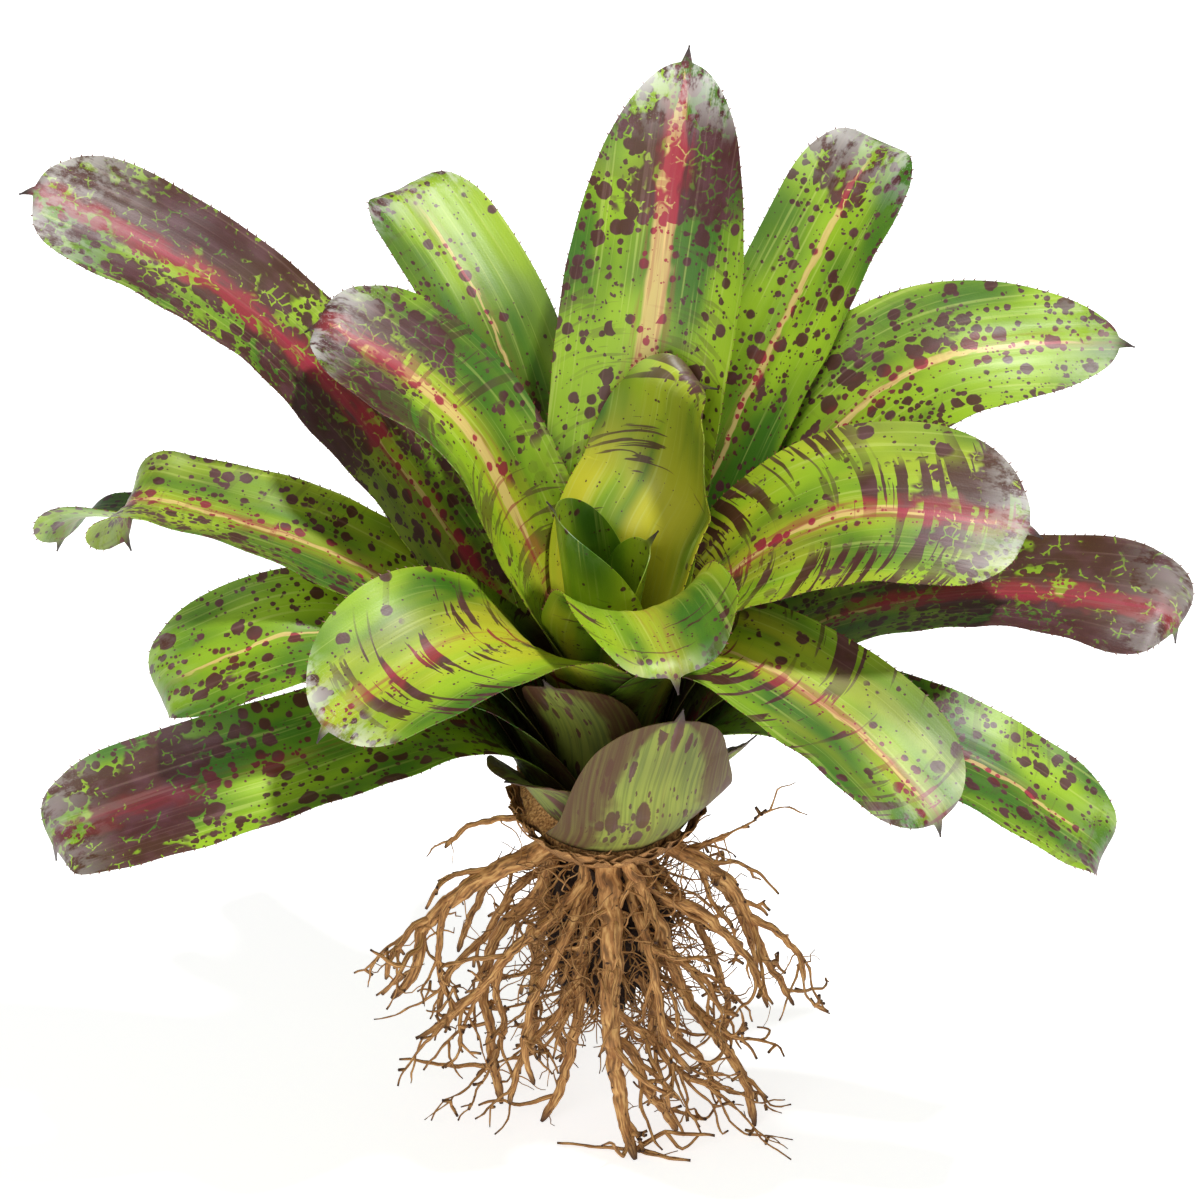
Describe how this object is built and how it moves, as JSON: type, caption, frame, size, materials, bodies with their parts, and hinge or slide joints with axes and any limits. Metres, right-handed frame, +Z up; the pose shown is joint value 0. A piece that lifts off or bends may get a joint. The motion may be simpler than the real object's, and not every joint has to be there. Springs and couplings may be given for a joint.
{
  "type": "bare-rooted bromeliad plant",
  "caption": "Bare-rooted bromeliad: a nest of spotted strap leaves that arch out from a short woody crown, standing on its own root tips.",
  "frame": {"origin": "on the floor under the crown, at the centre of the plant's footprint box", "axes": "+Z up, -Y towards the plant's front, the way the rosette's cup faces, +X to the plant's right as seen from the front"},
  "size_m": [0.4548, 0.2985, 0.4333],
  "materials": {
    "heart_leaf_inner_skin": "semi-gloss leaf skin",
    "heart_leaf_outer_skin": "semi-gloss leaf skin",
    "cup_leaf_rolled_skin": "semi-gloss leaf skin",
    "cup_leaf_back_skin": "semi-gloss leaf skin",
    "cup_leaf_front_skin": "semi-gloss leaf skin",
    "leaf_upper_left_skin": "semi-gloss leaf skin",
    "leaf_top_skin": "semi-gloss leaf skin",
    "leaf_right_skin": "semi-gloss leaf skin",
    "leaf_front_left_skin": "semi-gloss leaf skin",
    "leaf_front_right_skin": "semi-gloss leaf skin",
    "leaf_back_right_skin": "semi-gloss leaf skin",
    "leaf_back_left_skin": "semi-gloss leaf skin",
    "leaf_upper_right_skin": "semi-gloss leaf skin",
    "sheath_inner_skin": "semi-gloss leaf skin",
    "leaf_far_left_skin": "semi-gloss leaf skin",
    "leaf_left_skin": "semi-gloss leaf skin",
    "leaf_far_right_skin": "semi-gloss leaf skin",
    "leaf_low_left_skin": "semi-gloss leaf skin",
    "leaf_low_right_skin": "semi-gloss leaf skin",
    "leaf_edge_left_skin": "semi-gloss leaf skin",
    "leaf_lowest_left_skin": "semi-gloss leaf skin",
    "sheath_left_skin": "semi-gloss leaf skin",
    "sheath_right_skin": "semi-gloss leaf skin",
    "leaf_behind_right_skin": "semi-gloss leaf skin",
    "leaf_behind_left_skin": "semi-gloss leaf skin",
    "leaf_behind_middle_skin": "semi-gloss leaf skin",
    "sheath_front_skin": "semi-gloss leaf skin",
    "root_bark": "dry crinkled bark"
  },
  "bodies": {
    "root": {"heart_leaf_inner": "heart_leaf_inner_skin", "heart_leaf_outer": "heart_leaf_outer_skin", "cup_leaf_rolled": "cup_leaf_rolled_skin", "cup_leaf_back": "cup_leaf_back_skin", "cup_leaf_front": "cup_leaf_front_skin", "leaf_upper_left": "leaf_upper_left_skin", "leaf_top": "leaf_top_skin", "leaf_right": "leaf_right_skin", "leaf_front_left": "leaf_front_left_skin", "leaf_front_right": "leaf_front_right_skin", "leaf_back_right": "leaf_back_right_skin", "leaf_back_left": "leaf_back_left_skin", "leaf_upper_right": "leaf_upper_right_skin", "sheath_inner": "sheath_inner_skin", "leaf_far_left": "leaf_far_left_skin", "leaf_left": "leaf_left_skin", "leaf_far_right": "leaf_far_right_skin", "leaf_low_left": "leaf_low_left_skin", "leaf_low_right": "leaf_low_right_skin", "leaf_edge_left": "leaf_edge_left_skin", "leaf_lowest_left": "leaf_lowest_left_skin", "sheath_left": "sheath_left_skin", "sheath_right": "sheath_right_skin", "leaf_behind_right": "leaf_behind_right_skin", "leaf_behind_left": "leaf_behind_left_skin", "leaf_behind_middle": "leaf_behind_middle_skin", "sheath_front": "sheath_front_skin", "crown_and_roots": "root_bark"}
  },
  "joints": []
}
